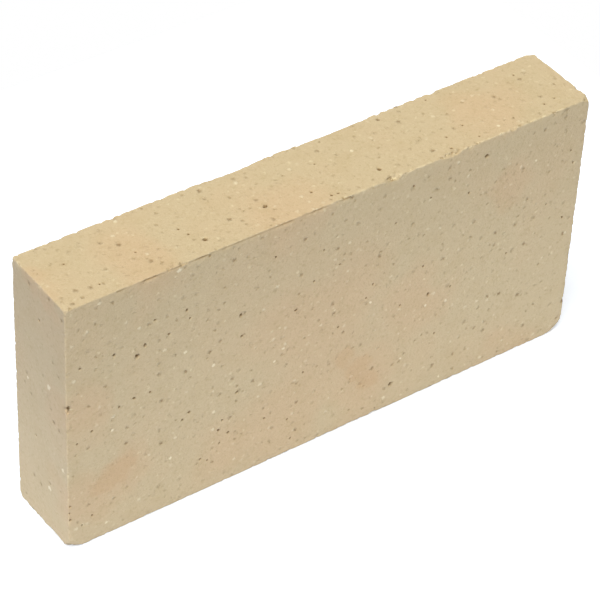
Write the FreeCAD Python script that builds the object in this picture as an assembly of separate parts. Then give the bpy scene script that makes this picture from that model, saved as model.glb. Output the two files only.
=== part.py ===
"""Refractory firebrick: one pressed and fired fireclay block that stands on its long narrow face.

Millimetres, +Z up. The origin is the middle of the face that the brick stands on. X runs from the near end to the
far end, Y from the front face to the back face, and Z from the lower face to the upper one.
"""

import FreeCAD, Part
import math
import os

from FreeCAD import Vector

NODE = "firebrick"

# The format of the brick
LENGTH = 230.0
THICKNESS = 35.0
HEIGHT = 114.0

# Every arris leaves the press and the kiln a little rounded
ARRIS_RADIUS = 0.6

# Each side: the axis that it closes, and the way that it faces along that axis
SIDES = {
    "near": (0, -1),
    "far": (0, 1),
    "front": (1, -1),
    "back": (1, 1),
    "lower": (2, -1),
    "upper": (2, 1),
}
LOWEST = Vector(-LENGTH / 2, -THICKNESS / 2, 0)
HIGHEST = Vector(LENGTH / 2, THICKNESS / 2, HEIGHT)

# Blunted corners: how far the wear reaches from the corner along X, Y and Z
WORN_CORNERS = {
    ("far", "front", "lower"): (8.5, 5.0, 5.5),
    ("far", "front", "upper"): (5.0, 3.4, 2.8),
    ("far", "back", "upper"): (4.5, 2.2, 2.2),
    ("near", "front", "lower"): (7.5, 4.2, 5.0),
    ("near", "back", "lower"): (3.0, 2.4, 3.5),
    ("near", "front", "upper"): (2.0, 1.6, 2.2),
    ("near", "back", "upper"): (1.4, 1.4, 1.4),
    ("far", "back", "lower"): (2.5, 2.5, 2.5),
}
# A worn corner is part of a ball this many times as large as the ring on which the wear begins
CORNER_BALL = 4.0

# Spalled arrises: the two faces that meet there, the place along the arris as a share of its length
# from the near, front or lower end, the length of the spall and its depth below the sharp arris
SPALLS = [
    ("front", "upper", 0.21, 5.0, 0.8),
    ("front", "upper", 0.60, 9.0, 1.4),
    ("front", "upper", 0.715, 11.0, 1.3),
    ("front", "upper", 0.84, 4.0, 0.9),
    ("back", "upper", 0.395, 34.0, 0.9),
    ("back", "upper", 0.587, 46.0, 0.8),
    ("back", "upper", 0.787, 5.0, 0.9),
    ("far", "upper", 0.21, 3.5, 0.9),
    ("front", "lower", 0.594, 5.0, 0.8),
    ("near", "lower", 0.27, 18.0, 0.9),
    ("near", "lower", 0.54, 4.0, 0.8),
]

# A cutter stands this far out of the face that it cuts
CUTTER_OVERRUN = 1.0


def outward(side):
    """The unit vector that a side faces along."""
    axis, sign = SIDES[side]
    way = [0, 0, 0]
    way[axis] = sign
    return Vector(*way)


def point_on(sides, share=0.0):
    """Where the named sides meet, and at that share of the brick's size along any axis that none of them closes."""
    at = [low + share * (high - low) for low, high in zip(LOWEST, HIGHEST)]
    for axis, sign in (SIDES[side] for side in sides):
        at[axis] = LOWEST[axis] if sign < 0 else HIGHEST[axis]
    return Vector(*at)


def box_between(first, second):
    """A box with two opposite corners at these points."""
    size = [abs(b - a) for a, b in zip(first, second)]
    return Part.makeBox(*size, Vector(*map(min, first, second)))


def corner_cutter(sides, reach):
    """What wear takes off one corner: its block, less the ball that stays."""
    corner = point_on(sides)
    inward = [-outward(side) for side in sides]
    ends = [corner + way * length for way, length in zip(inward, reach)]
    ring = Part.Circle(*ends)
    depth_way = ring.Axis if ring.Axis.dot(ring.Center - corner) > 0 else -ring.Axis
    ball_radius = CORNER_BALL * ring.Radius
    ball_centre = ring.Center + depth_way * math.sqrt(ball_radius**2 - ring.Radius**2)
    outer = corner - (inward[0] + inward[1] + inward[2]) * CUTTER_OVERRUN
    inner = ends[0] + ends[1] + ends[2] - corner * 2
    return box_between(outer, inner).cut(Part.makeSphere(ball_radius, ball_centre))


def spall_cutter(side, other_side, share, length, depth):
    """The ball whose scoop takes a spall of that length and depth out of an arris."""
    way = (outward(side) + outward(other_side)).normalize()
    radius = (length**2 / 4 + depth**2) / (2 * depth)
    return Part.makeSphere(radius, point_on((side, other_side), share) + way * (radius - depth))


def firebrick():
    """The pressed block with its rounded arrises, less what wear and knocks have taken."""
    block = box_between(LOWEST, HIGHEST)
    block = block.makeFillet(ARRIS_RADIUS, block.Edges)
    worn = [corner_cutter(sides, reach) for sides, reach in WORN_CORNERS.items()]
    spalled = [spall_cutter(*spall) for spall in SPALLS]
    return block.cut(worn + spalled)


def main():
    os.makedirs("parts", exist_ok=True)
    brick = firebrick()
    brick.exportStep(f"parts/{NODE}.step")
    box = brick.optimalBoundingBox(False, False)
    print(f"{NODE}: {len(brick.Solids)} solid, valid {brick.isValid()}, {brick.Volume:.0f} mm3")
    print(f"box {box.XLength:.2f} x {box.YLength:.2f} x {box.ZLength:.2f} mm, {len(brick.Faces)} faces")


main()
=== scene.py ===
import math
import random

import bmesh
import bpy
import numpy as np
from mathutils import Matrix, Vector, noise
from mathutils.bvhtree import BVHTree
from mathutils.kdtree import KDTree


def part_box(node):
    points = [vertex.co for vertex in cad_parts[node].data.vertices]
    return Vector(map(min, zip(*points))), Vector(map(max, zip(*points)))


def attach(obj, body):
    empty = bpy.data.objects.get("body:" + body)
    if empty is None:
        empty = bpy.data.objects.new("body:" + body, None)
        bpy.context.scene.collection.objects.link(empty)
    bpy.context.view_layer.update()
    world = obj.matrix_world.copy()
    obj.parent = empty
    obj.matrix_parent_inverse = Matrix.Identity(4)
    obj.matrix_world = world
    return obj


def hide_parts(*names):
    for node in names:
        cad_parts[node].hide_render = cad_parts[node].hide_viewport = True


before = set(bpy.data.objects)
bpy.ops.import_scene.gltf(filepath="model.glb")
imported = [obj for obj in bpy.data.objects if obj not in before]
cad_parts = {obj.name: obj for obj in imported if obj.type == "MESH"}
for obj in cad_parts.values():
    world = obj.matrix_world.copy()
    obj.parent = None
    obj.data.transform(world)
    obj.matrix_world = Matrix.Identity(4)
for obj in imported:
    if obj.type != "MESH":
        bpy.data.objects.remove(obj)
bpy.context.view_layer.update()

MM = 0.001
NODE = "firebrick"
PIECE = "fired_brick"
BAKE_LAYOUT = "OFBake"
SEED = 58

# The photograph's view: the angles in degrees, the place in metres, the lens on a full-frame sensor
PICTURE_SIDE = 600
PIXEL_MIDDLE = 0.5
VIEW_AZIMUTH = -37.13
VIEW_ELEVATION = 40.163
VIEW_ROLL = 3.009
VIEW_PLACE = Vector((-470.52, -617.45, 709.52)) * MM
VIEW_LENS = 163.6
VIEW_SENSOR = 36.0

# The block's mesh: the width of its squares on the open faces, the width of the finer band along the
# arrises, and how many cuts divide a square there and, in two passes, around the marks, with a margin
GRID = 1.4 * MM
ARRIS_BAND = 2.0 * MM
ARRIS_CUTS = 2
MARK_CUTS = (2, 1)
MARK_MARGIN = GRID / 4
# One division takes no more cuts than this, so that a longer side is first divided coarsely
LARGEST_CUT = 100
# An edge runs along an axis where its direction has at least this share of that axis
ALIGNED = 0.9
# The gap between the sides in the flat layout, as a share of its width
LAYOUT_MARGIN = 0.01

# Pits that show: the place in the photograph in pixels, and the width in millimetres
SEEN_PITS = [
    (67, 410, 3.6), (145, 345, 1.7), (137, 356, 2.3), (114, 355, 1.4), (374, 408, 1.3), (80, 369, 1.2),
    (187, 310, 1.5), (155, 320, 1.2), (169, 334, 1.3), (241, 315, 1.8), (242, 336, 1.5), (296, 310, 1.7),
    (276, 257, 1.2), (134, 398, 1.6), (150, 392, 1.2), (119, 407, 1.3), (189, 412, 1.5), (182, 420, 1.5),
    (237, 392, 1.6), (228, 432, 1.5), (218, 430, 1.2), (222, 420, 1.1), (287, 419, 1.2), (290, 438, 1.1),
    (264, 418, 1.2), (219, 443, 1.0), (200, 459, 1.3), (207, 460, 1.1), (92, 431, 1.2), (77, 444, 1.1),
    (340, 264, 1.2), (314, 281, 1.3), (373, 284, 1.3), (366, 298, 1.2), (428, 294, 1.9), (338, 327, 1.2),
    (390, 384, 2.4), (400, 305, 1.2), (434, 333, 1.2), (450, 286, 1.3), (423, 266, 1.2), (303, 372, 1.1),
    (469, 193, 1.4), (414, 186, 1.3), (431, 198, 1.2), (487, 156, 2.0), (573, 162, 1.2), (562, 217, 1.3),
    (506, 253, 1.2), (546, 204, 1.1), (205, 238, 2.1), (188, 233, 1.3), (178, 228, 1.2), (264, 206, 1.2),
    (378, 119, 1.4), (379, 168, 2.2), (338, 192, 1.4), (331, 194, 1.4), (311, 191, 1.3), (451, 147, 1.4),
    (446, 136, 1.2), (425, 99, 1.3), (513, 74, 1.2), (544, 103, 1.2), (479, 135, 1.2), (99, 283, 1.1),
    (38, 320, 1.2), (62, 379, 1.2), (35, 435, 1.4), (49, 483, 1.5), (70, 507, 1.1), (69, 514, 1.3),
    (70, 520, 1.3), (82, 525, 1.1), (92, 515, 1.2), (63, 263, 1.2), (135, 251, 1.2), (314, 163, 1.1),
    (462, 124, 1.1), (554, 97, 1.2), (190, 318, 1.1), (324, 250, 1.1), (396, 223, 1.1), (571, 150, 1.1),
]
# Pale grains of grog that show, likewise
SEEN_GRAINS = [
    (48, 387, 2.4), (49, 488, 2.1), (62, 470, 1.8), (27, 377, 1.4), (112, 430, 1.3), (106, 522, 1.3),
    (213, 365, 1.6), (185, 352, 1.6), (179, 270, 2.2), (170, 458, 1.5), (274, 361, 1.2), (283, 348, 1.4),
    (425, 305, 1.4), (438, 376, 1.2), (400, 358, 1.2), (370, 302, 1.3), (351, 150, 1.6), (498, 125, 1.4),
    (536, 160, 1.3),
]
# Places that the kiln flushed pink, likewise
SEEN_FLUSHES = [
    (88, 500, 36), (122, 473, 36), (84, 414, 34), (362, 380, 58), (322, 318, 80), (290, 404, 70),
    (228, 447, 38), (510, 186, 28), (410, 304, 46), (140, 258, 44), (280, 208, 40), (484, 108, 36),
    (30, 281, 16), (47, 302, 16),
]
# Brown smudges within them, likewise
SEEN_SMUDGES = [
    (343, 358, 12), (357, 368, 14), (366, 380, 12), (128, 463, 10), (118, 470, 16), (104, 482, 14),
]
# The sides that the photograph doesn't show: the axis that each closes, and its lower or upper end.
# Marks on them keep this far from the arrises
HIDDEN_SIDES = ((0, 1), (1, 1), (2, 0))
HIDDEN_MARGIN = 4 * MM
# A pit's depth is this share of its width, and no more than the deepest
PIT_DEPTH_SHARE = 0.45
PIT_DEEPEST = 1.0 * MM
# How far a mark's rim strays, as a share of its radius, and how many lobes it has to a radius
RAGGEDNESS = 0.6
RIM_LOBES = 1.5

# Relief of the fired surface, all of it inwards: the width of its patches and its depth.
# Broken grain and crumbled arrises are flat up to the first height of their noise and full at the second
KILN_WARP = (60 * MM, 0.12 * MM)
PRESS_GRAIN = (2.6 * MM, 0.10 * MM)
BROKEN_GRAIN = (1.2 * MM, 0.6 * MM)
BROKEN_HOLLOWS = (0.35, 0.7)
ARRIS_CRUMBLE = (2.0 * MM, 0.7 * MM)
ARRIS_NICKS = (0.48, 0.78)
RELIEF_DETAIL = 2
# Faces that meet at more than this angle, in degrees, keep a sharp edge between them
SHARP_ANGLE = 50
# A face counts as broken where the frame lies more than the first depth inside the sharp block, and fully
# so at the second
BROKEN = (0.3 * MM, 0.7 * MM)
# The back upper arris has crumbled all along, and the front upper one between these shares of its length.
# The other arrises have only this share of that wear
CRUMBLED = (0.48, 0.95)
SOUND = 0.55
# Worn arrises are paler crumb by crumb: a crumb's share is this much, more or less by its noise
CRUMB_LEVEL = 0.7
# Between these shares of its length the front upper arris keeps the lip that the press left. The groove
# under it lies this far down, reaches this far up and down from there and is this deep. It comes and goes
# in stretches of about this length, and has this share of its depth on average
LIP = (0.09, 0.52)
LIP_DOWN = 0.9 * MM
LIP_REACH = 0.6 * MM
LIP_DEPTH = 0.35 * MM
LIP_BREAKS = 7 * MM
LIP_LEVEL = 0.6

# The clay's own colour
BUFF = "#c9b696"
# What the mesh marks: its name there, its colour, the share of the mark at which the colour begins and is
# full, and its strength. The kiln's mark lies under the tones and specks, and the others lie over them
KILN_MARKS = (
    ("flush", "#cdb291", 0.0, 1.0, 0.7),
)
WEAR_AND_SHADE_MARKS = (
    ("smudge", "#c7a580", 0.0, 0.8, 0.45),
    ("arris", "#ecdcba", 0.4, 0.8, 0.35),
    # Painted shadow: the groove under the pressed lip is coloured dark brown, as the shadow under the lip
    ("groove_and_painted_shade", "#96733f", 0.1, 0.8, 0.6),
    ("grog", "#f0e5ca", 0.0, 0.6, 0.65),
    # Partly painted shade: the pits' cores are coloured dark brown, both as dark pore and as the shade in the
    # hollow
    ("pit_and_painted_shade", "#6a4e28", 0.2, 0.9, 0.85),
)
# Soft changes of tone: the colour, the width of its patches, how crisp they are, the heights of their noise
# at which they begin and are full, and their strength
TONES = (
    ("#d0b594", 26 * MM, 1.0, 0.36, 0.74, 0.25),
    ("#b9a27a", 9 * MM, 3.0, 0.45, 0.75, 0.2),
    ("#a68e64", 1.3 * MM, 3.0, 0.50, 0.76, 0.26),
    ("#ddcfae", 0.9 * MM, 3.0, 0.52, 0.78, 0.28),
)
# Specks of iron and grog: the colour, how far apart they lie, their radius, their strength, how hollow they
# are, and the share of them on the two ends, which the mould rubbed smoother.
# Kinds that lie equally far apart would lie on top of each other
SPECKS = (
    ("#7d6038", 5.0 * MM, 1.35 * MM, 0.72, 1.5, 0.8),
    ("#8d7248", 3.3 * MM, 1.05 * MM, 0.58, 1.0, 0.8),
    ("#f0e5c9", 5.3 * MM, 1.35 * MM, 0.55, -0.5, 1.0),
    ("#e9dcba", 3.5 * MM, 1.10 * MM, 0.48, -0.3, 1.0),
)
# A speck is full within this share of its radius, and strong ones are rarer by this power
SPECK_CORE = 0.2
SPECK_RARITY = 2.0
# Their outlines are ragged: each point is looked up off its place, by up to half of this stray either way,
# which changes in patches of this width
SPECK_STRAY = 1.6 * MM
SPECK_STRAY_WIDTH = 0.9 * MM
SPECK_STRAY_DETAIL = 2.0
# The middle of a noise, which runs from 0 to 1
NOISE_MIDDLE = 0.5
# Where an arris has broken, pale and brown crumbs lie bare side by side: their width, the heights of their
# noise between which they change colour, how deep a nick bares them, from first to fully, and how strongly
CRUMB_WIDTH = 1.2 * MM
CRUMB_DETAIL = 2.0
CRUMB_TURN = (0.42, 0.58)
PALE_CRUMB = "#eadab6"
BROWN_CRUMB = "#8f7046"
BARING = (0.15, 0.7)
BARED = 0.6
# Sandy grain, in bump: its width, how crisp and how rough it is, and the bump's strength and height
SAND_WIDTH = 0.8 * MM
SAND_DETAIL = 3.0
SAND_ROUGHNESS = 0.65
BUMP_STRENGTH = 0.65
BUMP_HEIGHT = 0.45 * MM
# The sheen of dusty clay: the range of its roughness, the width of its patches, and how little it mirrors
DUSTY = (0.84, 1.0)
DUST_WIDTH = 6 * MM
DUST_DETAIL = 2.0
CLAY_IOR = 1.5
CLAY_SPECULAR = 0.25

# A colour mix takes its share and its two colours at the first three of these sockets, and gives its result
# at the last
SHARE, UNDER, OVER, MIXED = 0, 6, 7, 2

# Light and stage, in metres and watts: each lamp's name, place, side, power and tint
FLOOR_HALF = 0.24
LAMPS = (
    ("key", Vector((-1.5, -1.0, 4.0)), 3.6, 249.0, "#fffdef"),
    ("end_fill", Vector((-0.8, 0.0, 0.15)), 0.7, 2.3, "#d3e0ff"),
    ("front_fill", Vector((0.1, -0.9, 0.15)), 0.7, 3.1, "#f3f9ff"),
    ("back_fill", Vector((0.75, 0.7, 0.15)), 0.7, 9.0, "#ffffff"),
)
PAPER = "#e8efff"
SURROUND = "#ffffff"
WORLD_LEVEL = 0.04
FLOOR_LIFT = 0.30


def linear(code):
    """An sRGB hex colour as linear red, green, blue and alpha."""
    parts = [int(code[i : i + 2], 16) / 255 for i in (1, 3, 5)]
    return [c / 12.92 if c <= 0.04045 else ((c + 0.055) / 1.055) ** 2.4 for c in parts] + [1.0]


def view_matrix():
    """Where the photograph's camera stands and how it is turned."""
    turn = Matrix.Rotation(math.radians(VIEW_AZIMUTH), 4, "Z")
    tilt = Matrix.Rotation(math.radians(90 - VIEW_ELEVATION), 4, "X")
    roll = Matrix.Rotation(math.radians(VIEW_ROLL), 4, "Z")
    return Matrix.Translation(VIEW_PLACE) @ turn @ tilt @ roll


def place_seen(surface, across, down):
    """The point of the frame's surface that a pixel of the photograph shows."""
    half = PICTURE_SIDE / 2
    scale = VIEW_SENSOR / VIEW_LENS / PICTURE_SIDE
    middle = Vector((across + PIXEL_MIDDLE - half, half - down - PIXEL_MIDDLE, 0)) * scale
    way = view_matrix().to_3x3() @ (middle - Vector((0, 0, 1)))
    return surface.ray_cast(VIEW_PLACE, way.normalized())[0]


def place_hidden(corners, draw):
    """A random point on the sides that the photograph doesn't show, clear of their arrises."""
    low, high = corners
    sizes = high - low
    # A side's share of the area is as large as the size that it closes is small
    areas = [1 / sizes[axis] for axis, _ in HIDDEN_SIDES]
    axis, end = draw.choices(HIDDEN_SIDES, areas)[0]
    place = Vector([draw.uniform(a + HIDDEN_MARGIN, b - HIDDEN_MARGIN) for a, b in zip(low, high)])
    place[axis] = corners[end][axis]
    return place


def marks(surface, corners, draw, seen):
    """The place and radius of every mark of one kind: those that show, and as many on the hidden sides."""
    shown = [(place_seen(surface, across, down), width * MM / 2) for across, down, width in seen]
    hidden = [(place_hidden(corners, draw), width * MM / 2) for _, _, width in seen]
    return shown + hidden


def apply_modifier(block, kind, **settings):
    """Adds a modifier with these settings to the block and applies it."""
    modifier = block.modifiers.new(kind.lower(), kind)
    for name, value in settings.items():
        setattr(modifier, name, value)
    bpy.ops.object.modifier_apply(modifier=modifier.name)


def cut_edges_along(block, axis, cuts):
    """Divides every edge of the block that runs along an axis."""
    bpy.ops.mesh.select_all(action="DESELECT")
    grid = bmesh.from_edit_mesh(block.data)
    for edge in grid.edges:
        way = (edge.verts[1].co - edge.verts[0].co).normalized()
        edge.select_set(abs(way[axis]) > ALIGNED)
    bmesh.update_edit_mesh(block.data)
    bpy.ops.mesh.subdivide(number_cuts=cuts)


def pressed_block(corners):
    """A block of the frame's size and place, its sides laid out for the bake and cut into an even grid."""
    low, high = corners
    bpy.ops.object.select_all(action="DESELECT")
    bpy.ops.mesh.primitive_cube_add(size=1, location=(low + high) / 2, scale=high - low)
    bpy.ops.object.transform_apply(location=True, rotation=True, scale=True)
    block = bpy.context.object
    block.name = PIECE
    block.data.name = PIECE
    bpy.ops.object.mode_set(mode="EDIT")
    bpy.ops.uv.smart_project(island_margin=LAYOUT_MARGIN)
    bpy.ops.mesh.select_mode(type="EDGE")
    for axis, size in enumerate(high - low):
        squares = round(size / GRID)
        parts = math.ceil(squares / LARGEST_CUT)
        if parts > 1:
            cut_edges_along(block, axis, parts - 1)
        cut_edges_along(block, axis, round(squares / parts) - 1)
    bpy.ops.object.mode_set(mode="OBJECT")
    block.data.uv_layers.active.name = BAKE_LAYOUT
    return block


def cut_finer(block, wanted, cuts):
    """Divides the faces that are wanted, judged by their middles."""
    bpy.ops.object.mode_set(mode="EDIT")
    bpy.ops.mesh.select_mode(type="FACE")
    bpy.ops.mesh.select_all(action="DESELECT")
    grid = bmesh.from_edit_mesh(block.data)
    for face in grid.faces:
        face.select_set(wanted(face.calc_center_median()))
    bmesh.update_edit_mesh(block.data)
    bpy.ops.mesh.subdivide(number_cuts=cuts)
    bpy.ops.object.mode_set(mode="OBJECT")


def arris_distance(corners, place):
    """How far a place on the block's surface lies from the nearest arris."""
    low, high = corners
    return sorted(min(p - a, b - p) for p, a, b in zip(place, low, high))[1]


def along(corners, place):
    """How far along the brick a place lies, from 0 at the near end to 1 at the far end."""
    low, high = corners
    return (place.x - low.x) / (high.x - low.x)


def arris_wear(corners, place):
    """How much an arris crumbles at a place: most on the back upper one and part of the front upper one."""
    low, high = corners
    share = max(0.0, 1 - arris_distance(corners, place) / ARRIS_BAND)
    upper = high.z - place.z < ARRIS_BAND
    back = high.y - place.y < ARRIS_BAND
    front = place.y - low.y < ARRIS_BAND and CRUMBLED[0] < along(corners, place) < CRUMBLED[1]
    return share if upper and (back or front) else share * SOUND


def lip_groove(corners, place):
    """How deep the groove under the pressed lip is at a place, from 0 to 1, with breaks along its length."""
    low, high = corners
    if place.y - low.y > LIP_REACH or not LIP[0] < along(corners, place) < LIP[1]:
        return 0.0
    across = 1 - abs(high.z - place.z - LIP_DOWN) / LIP_REACH
    length = LIP_LEVEL + noise.noise(Vector((place.x / LIP_BREAKS, 0, 0)))
    return min(1.0, max(0.0, across) * max(0.0, length))


def weigh(block, name, weights):
    """A vertex group that holds every vertex with a weight over 0."""
    group = block.vertex_groups.new(name=name)
    for index, weight in enumerate(weights):
        if weight > 0:
            group.add([index], weight, "REPLACE")


def store(block, name, values):
    """A number for each vertex, which the material reads."""
    layer = block.data.attributes.new(name, "FLOAT", "POINT")
    layer.data.foreach_set("value", np.asarray(values, np.float32))


def coordinates(block):
    """The places of the block's vertices, one to a row."""
    flat = np.empty(3 * len(block.data.vertices), np.float32)
    block.data.vertices.foreach_get("co", flat)
    return flat.reshape(-1, 3)


def moved(block, before):
    """How far each vertex has moved from where it was."""
    return np.linalg.norm(coordinates(block) - before, axis=1)


def mark_shares(block, places):
    """How far each vertex lies inside a mark, from 0 at its ragged rim to 1 at its middle, and that share of
    the mark's radius."""
    tree = KDTree(len(block.data.vertices))
    for vertex in block.data.vertices:
        tree.insert(vertex.co, vertex.index)
    tree.balance()
    shares = np.zeros(len(block.data.vertices))
    radii = np.zeros(len(block.data.vertices))
    for place, radius in places:
        for at, index, distance in tree.find_range(place, radius * (1 + RAGGEDNESS)):
            rim = radius * (1 + RAGGEDNESS * noise.noise(at / radius * RIM_LOBES))
            share = 1 - (distance / rim) ** 2
            if share > shares[index]:
                shares[index] = share
                radii[index] = share * radius
    return shares, radii


def cut_worn_and_marked(block, corners, surface, marked):
    """Divides the faces along the arrises, where the frame is worn away, and around the marks."""
    tree = KDTree(len(marked))
    for index, (place, _) in enumerate(marked):
        tree.insert(place, index)
    tree.balance()

    def worn(place):
        return arris_distance(corners, place) < ARRIS_BAND or surface.find_nearest(place)[3] > BROKEN[0]

    def near_mark(place):
        _, index, distance = tree.find(place)
        return distance < marked[index][1] * (1 + RAGGEDNESS) + MARK_MARGIN

    cut_finer(block, worn, ARRIS_CUTS)
    for cuts in MARK_CUTS:
        cut_finer(block, near_mark, cuts)


def lay_onto_frame(block):
    """Brings the block onto the frame's worn form, and marks as broken what had to move far for it."""
    sharp = coordinates(block)
    apply_modifier(block, "SHRINKWRAP", target=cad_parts[NODE], wrap_method="NEAREST_SURFACEPOINT")
    begin, full = BROKEN
    broken = np.clip((moved(block, sharp) - begin) / (full - begin), 0, 1)
    store(block, "broken", broken)
    weigh(block, "broken", broken.tolist())


def mark_surface(block, corners, pits, grains, flushes, smudges):
    """Gives the vertices what the relief and the material need to know of the marks, arrises and lip."""
    pit_shares, pit_radii = mark_shares(block, pits)
    # The pit's share also sets where its core is painted dark, partly as dark pore and partly as shade
    store(block, "pit_and_painted_shade", pit_shares)
    weigh(block, "pits", np.minimum(1, pit_radii * 2 * PIT_DEPTH_SHARE / PIT_DEEPEST))
    for name, places in (("grog", grains), ("flush", flushes), ("smudge", smudges)):
        store(block, name, mark_shares(block, places)[0])
    wear = [arris_wear(corners, v.co) for v in block.data.vertices]
    crumbs = [CRUMB_LEVEL + noise.noise(v.co / ARRIS_CRUMBLE[0]) for v in block.data.vertices]
    store(block, "arris", np.multiply(wear, crumbs))
    weigh(block, "arrises", wear)
    # The groove's depth also sets where it is painted dark brown, as the shadow under the lip
    groove_and_painted_shade = [lip_groove(corners, v.co) for v in block.data.vertices]
    store(block, "groove_and_painted_shade", groove_and_painted_shade)
    weigh(block, "groove_and_painted_shade", groove_and_painted_shade)


def relief(name, patch, low=0.0, high=1.0):
    """A cloudy height field whose patches are so wide, with all under low flat and all over high full."""
    field = bpy.data.textures.new(name, "CLOUDS")
    field.noise_scale = patch
    field.noise_depth = RELIEF_DETAIL
    field.use_color_ramp = True
    flat, full = field.color_ramp.elements
    flat.position = low
    flat.color = (0, 0, 0, 1)
    full.position = high
    full.color = (1, 1, 1, 1)
    return field


def sink(block, depth, field=None, group=""):
    """Moves the block's surface inwards, by up to a depth where a height field or a vertex group is full."""
    apply_modifier(
        block, "DISPLACE", strength=-depth, texture=field, vertex_group=group,
        texture_coords="LOCAL", direction="NORMAL", mid_level=0.0,
    )


def roughen(block):
    """Works the relief of the fired surface into the block, from the broadest to the sharpest."""
    for name, (patch, depth) in (("kiln warp", KILN_WARP), ("press grain", PRESS_GRAIN)):
        sink(block, depth, relief(name, patch))
    before = coordinates(block)
    patch, depth = BROKEN_GRAIN
    sink(block, depth, relief("broken grain", patch, *BROKEN_HOLLOWS), "broken")
    patch, depth = ARRIS_CRUMBLE
    sink(block, depth, relief("arris crumble", patch, *ARRIS_NICKS), "arrises")
    store(block, "nick", moved(block, before) / depth)
    sink(block, LIP_DEPTH, group="groove_and_painted_shade")
    sink(block, PIT_DEEPEST, group="pits")
    bpy.ops.object.shade_smooth_by_angle(angle=math.radians(SHARP_ANGLE))


def fired_brick(corners, surface, pits, grains, flushes, smudges):
    """The block with the frame's worn corners and spalls, its pits, and the relief of its fired surface."""
    block = pressed_block(corners)
    cut_worn_and_marked(block, corners, surface, pits + grains)
    lay_onto_frame(block)
    mark_surface(block, corners, pits, grains, flushes, smudges)
    roughen(block)
    return block


def add_node(tree, kind, links=None, **settings):
    """Adds one node with its settings, and sets or links its sockets."""
    node = tree.nodes.new(kind)
    for name, value in settings.items():
        setattr(node, name, value)
    for name, value in (links or {}).items():
        if isinstance(value, bpy.types.NodeSocket):
            tree.links.new(value, node.inputs[name])
        else:
            node.inputs[name].default_value = value
    return node


def marked_colour(tree, colour, kinds):
    """The colour with these kinds of marks laid over it, each where the mesh has it."""
    for name, tone, begin, full, strength in kinds:
        value = add_node(tree, "ShaderNodeAttribute", attribute_name=name).outputs["Fac"]
        share = add_node(
            tree, "ShaderNodeMapRange",
            {"Value": value, "From Min": begin, "From Max": full, "To Max": strength},
            interpolation_type="SMOOTHSTEP",
        ).outputs["Result"]
        colour = add_node(
            tree, "ShaderNodeMix", {SHARE: share, UNDER: colour, OVER: linear(tone)}, data_type="RGBA",
        ).outputs[MIXED]
    return colour


def clouded_colour(tree, place, colour):
    """The colour with its soft changes of tone."""
    for tone, width, detail, begin, full, strength in TONES:
        cloud = add_node(
            tree, "ShaderNodeTexNoise", {"Vector": place, "Scale": 1 / width, "Detail": detail},
        ).outputs["Fac"]
        share = add_node(
            tree, "ShaderNodeMapRange",
            {"Value": cloud, "From Min": begin, "From Max": full, "To Max": strength},
            interpolation_type="SMOOTHSTEP",
        ).outputs["Result"]
        colour = add_node(
            tree, "ShaderNodeMix", {SHARE: share, UNDER: colour, OVER: linear(tone)}, data_type="RGBA",
        ).outputs[MIXED]
    return colour


def strayed_place(tree, place):
    """The place that is looked up for the specks, a little off the true one."""
    offset = add_node(
        tree, "ShaderNodeTexNoise",
        {"Vector": place, "Scale": 1 / SPECK_STRAY_WIDTH, "Detail": SPECK_STRAY_DETAIL},
    ).outputs["Color"]
    centred = add_node(
        tree, "ShaderNodeVectorMath", {0: offset, 1: (NOISE_MIDDLE,) * 3}, operation="SUBTRACT",
    ).outputs["Vector"]
    return add_node(
        tree, "ShaderNodeVectorMath", {0: centred, 1: (SPECK_STRAY,) * 3, 2: place}, operation="MULTIPLY_ADD",
    ).outputs["Vector"]


def specked(tree, place, colour, height):
    """The colour and height with specks of all strengths, each kind a little hollow or proud."""
    strayed = strayed_place(tree, place)
    facing = add_node(tree, "ShaderNodeTexCoord").outputs["Normal"]
    sided = add_node(tree, "ShaderNodeVectorMath", {0: facing}, operation="ABSOLUTE").outputs["Vector"]
    for tone, spacing, radius, strength, hollow, on_ends in SPECKS:
        rim = radius / spacing
        cells = add_node(tree, "ShaderNodeTexVoronoi", {"Vector": strayed, "Scale": 1 / spacing}).outputs
        spot = add_node(
            tree, "ShaderNodeMapRange",
            {"Value": cells["Distance"], "From Min": rim, "From Max": SPECK_CORE * rim},
            interpolation_type="SMOOTHSTEP",
        ).outputs["Result"]
        chance = add_node(tree, "ShaderNodeSeparateColor", {"Color": cells["Color"]}).outputs["Red"]
        bare = add_node(
            tree, "ShaderNodeVectorMath", {0: sided, 1: (on_ends, 1, 1)}, operation="DOT_PRODUCT",
        ).outputs["Value"]
        likely = add_node(tree, "ShaderNodeMath", {0: chance, 1: bare}, operation="MULTIPLY").outputs["Value"]
        varied = add_node(tree, "ShaderNodeMath", {0: spot, 1: likely}, operation="MULTIPLY").outputs["Value"]
        rare = add_node(
            tree, "ShaderNodeMath", {0: varied, 1: SPECK_RARITY}, operation="POWER",
        ).outputs["Value"]
        share = add_node(
            tree, "ShaderNodeMath", {0: rare, 1: strength}, operation="MULTIPLY",
        ).outputs["Value"]
        colour = add_node(
            tree, "ShaderNodeMix", {SHARE: share, UNDER: colour, OVER: linear(tone)}, data_type="RGBA",
        ).outputs[MIXED]
        height = add_node(
            tree, "ShaderNodeMath", {0: varied, 1: -hollow, 2: height}, operation="MULTIPLY_ADD",
        ).outputs["Value"]
    return colour, height


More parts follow.
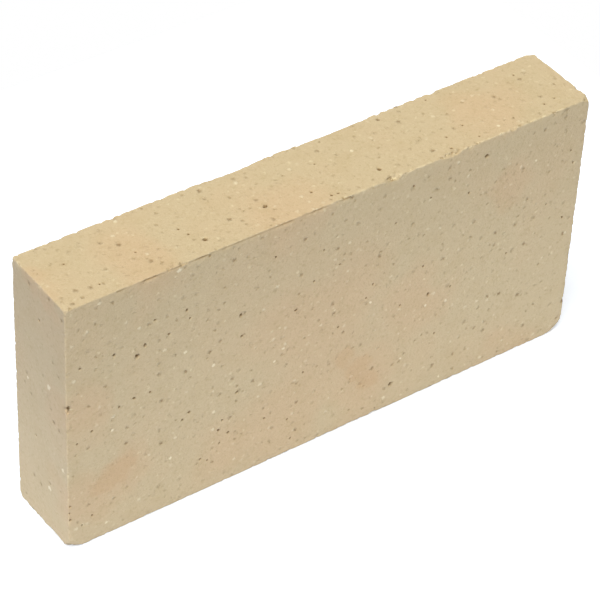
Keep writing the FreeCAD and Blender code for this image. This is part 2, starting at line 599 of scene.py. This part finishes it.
def crumbled_colour(tree, place, colour):
    """The colour with bare crumbs in the nicks of the arrises."""
    crumbs = add_node(
        tree, "ShaderNodeTexNoise", {"Vector": place, "Scale": 1 / CRUMB_WIDTH, "Detail": CRUMB_DETAIL},
    ).outputs["Fac"]
    browner = add_node(
        tree, "ShaderNodeMapRange", {"Value": crumbs, "From Min": CRUMB_TURN[0], "From Max": CRUMB_TURN[1]},
    ).outputs["Result"]
    bare = add_node(
        tree, "ShaderNodeMix", {SHARE: browner, UNDER: linear(PALE_CRUMB), OVER: linear(BROWN_CRUMB)},
        data_type="RGBA",
    ).outputs[MIXED]
    nick = add_node(tree, "ShaderNodeAttribute", attribute_name="nick").outputs["Fac"]
    share = add_node(
        tree, "ShaderNodeMapRange",
        {"Value": nick, "From Min": BARING[0], "From Max": BARING[1], "To Max": BARED},
        interpolation_type="SMOOTHSTEP",
    ).outputs["Result"]
    return add_node(
        tree, "ShaderNodeMix", {SHARE: share, UNDER: colour, OVER: bare}, data_type="RGBA",
    ).outputs[MIXED]


def sandy_height(tree, place):
    """The height of the sandy grain, twice as much on broken faces."""
    sand = add_node(
        tree, "ShaderNodeTexNoise",
        {"Vector": place, "Scale": 1 / SAND_WIDTH, "Detail": SAND_DETAIL, "Roughness": SAND_ROUGHNESS},
    ).outputs["Fac"]
    broken = add_node(tree, "ShaderNodeAttribute", attribute_name="broken").outputs["Fac"]
    coarser = add_node(tree, "ShaderNodeMath", {0: broken, 1: 1.0}, operation="ADD").outputs["Value"]
    return add_node(tree, "ShaderNodeMath", {0: sand, 1: coarser}, operation="MULTIPLY").outputs["Value"]


def fireclay():
    """Dry-pressed fireclay with crushed grog, fired at 1300 C: a dull, dusty buff, flushed pink in places,
    with sandy grain, brown iron specks, cream grog and open pores. The pores' cores are painted dark, partly
    as dark clay and partly as painted shade, and the groove under the lip is painted dark brown as its
    shadow. Unglazed, so it is rough all over."""
    material = bpy.data.materials.new("fired_fireclay")
    material.use_nodes = True
    tree = material.node_tree
    tree.nodes.clear()
    place = add_node(tree, "ShaderNodeTexCoord").outputs["Object"]
    colour = marked_colour(tree, linear(BUFF), KILN_MARKS)
    colour = clouded_colour(tree, place, colour)
    colour, height = specked(tree, place, colour, sandy_height(tree, place))
    colour = marked_colour(tree, colour, WEAR_AND_SHADE_MARKS)
    colour = crumbled_colour(tree, place, colour)
    dust = add_node(
        tree, "ShaderNodeTexNoise", {"Vector": place, "Scale": 1 / DUST_WIDTH, "Detail": DUST_DETAIL},
    ).outputs["Fac"]
    roughness = add_node(
        tree, "ShaderNodeMapRange", {"Value": dust, "To Min": DUSTY[0], "To Max": DUSTY[1]},
    ).outputs["Result"]
    bump = add_node(
        tree, "ShaderNodeBump", {"Height": height, "Strength": BUMP_STRENGTH, "Distance": BUMP_HEIGHT},
    ).outputs["Normal"]
    clay = add_node(
        tree, "ShaderNodeBsdfPrincipled",
        {
            "Base Color": colour, "Roughness": roughness, "Normal": bump,
            "IOR": CLAY_IOR, "Specular IOR Level": CLAY_SPECULAR,
        },
    ).outputs["BSDF"]
    add_node(tree, "ShaderNodeOutputMaterial", {"Surface": clay})
    return material


def seen_directly(tree):
    """1 for what the camera sees, also in gloss and through glass, and 0 for light that reaches a surface."""
    path = add_node(tree, "ShaderNodeLightPath").outputs
    first = add_node(
        tree, "ShaderNodeMath", {0: path["Is Camera Ray"], 1: path["Is Glossy Ray"]}, operation="MAXIMUM",
    ).outputs["Value"]
    return add_node(
        tree, "ShaderNodeMath", {0: first, 1: path["Is Transmission Ray"]}, operation="MAXIMUM",
    ).outputs["Value"]


def white_paper():
    """Matt white studio paper with a cool cast: it keeps the soft shadow, and where the camera sees it, it is
    lifted towards white."""
    material = bpy.data.materials.new("white_paper")
    material.use_nodes = True
    tree = material.node_tree
    tree.nodes.clear()
    paper = add_node(tree, "ShaderNodeBsdfDiffuse", {"Color": linear(PAPER)}).outputs["BSDF"]
    strength = add_node(
        tree, "ShaderNodeMath", {0: seen_directly(tree), 1: FLOOR_LIFT}, operation="MULTIPLY",
    ).outputs["Value"]
    lift = add_node(tree, "ShaderNodeEmission", {"Strength": strength}).outputs["Emission"]
    both = add_node(tree, "ShaderNodeAddShader", {0: paper, 1: lift}).outputs["Shader"]
    add_node(tree, "ShaderNodeOutputMaterial", {"Surface": both})
    return material


def paper_floor():
    """A sheet of white paper under the brick."""
    bpy.ops.object.select_all(action="DESELECT")
    bpy.ops.mesh.primitive_plane_add(size=2 * FLOOR_HALF)
    floor = bpy.context.object
    floor.name = "floor"
    floor.data.materials.append(white_paper())


def surround():
    """A surround that is white to the camera and gives only a little light."""
    world = bpy.data.worlds.new("studio")
    bpy.context.scene.world = world
    world.use_nodes = True
    tree = world.node_tree
    tree.nodes.clear()
    level = add_node(
        tree, "ShaderNodeMapRange", {"Value": seen_directly(tree), "To Min": WORLD_LEVEL, "To Max": 1.0},
    ).outputs["Result"]
    white = add_node(tree, "ShaderNodeBackground", {"Color": linear(SURROUND), "Strength": level})
    add_node(tree, "ShaderNodeOutputWorld", {"Surface": white.outputs["Background"]})


def lamps():
    """A large softbox high above, towards the near end, and low fills at the near end, the front and the
    back."""
    for name, place, side, power, tint in LAMPS:
        data = bpy.data.lights.new(name, "AREA")
        data.shape = "SQUARE"
        data.size = side
        data.energy = power
        data.color = linear(tint)[:3]
        lamp = bpy.data.objects.new(name, data)
        lamp.location = place
        lamp.rotation_euler = (-place).to_track_quat("-Z", "Y").to_euler()
        bpy.context.scene.collection.objects.link(lamp)


def camera():
    """The photograph's camera."""
    data = bpy.data.cameras.new("camera")
    data.lens = VIEW_LENS
    data.sensor_width = VIEW_SENSOR
    viewer = bpy.data.objects.new("camera", data)
    viewer.matrix_world = view_matrix()
    bpy.context.scene.collection.objects.link(viewer)
    bpy.context.scene.camera = viewer


def main():
    """Dresses the frame's brick and sets the stage around it."""
    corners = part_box(NODE)
    surface = BVHTree.FromObject(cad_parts[NODE], bpy.context.evaluated_depsgraph_get())
    draw = random.Random(SEED)
    pits = marks(surface, corners, draw, SEEN_PITS)
    grains = marks(surface, corners, draw, SEEN_GRAINS)
    flushes = marks(surface, corners, draw, SEEN_FLUSHES)
    smudges = marks(surface, corners, draw, SEEN_SMUDGES)
    brick = fired_brick(corners, surface, pits, grains, flushes, smudges)
    brick.data.materials.append(fireclay())
    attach(brick, "root")
    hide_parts(NODE)
    paper_floor()
    surround()
    lamps()
    camera()
    bpy.context.scene.view_settings.view_transform = "Standard"


main()
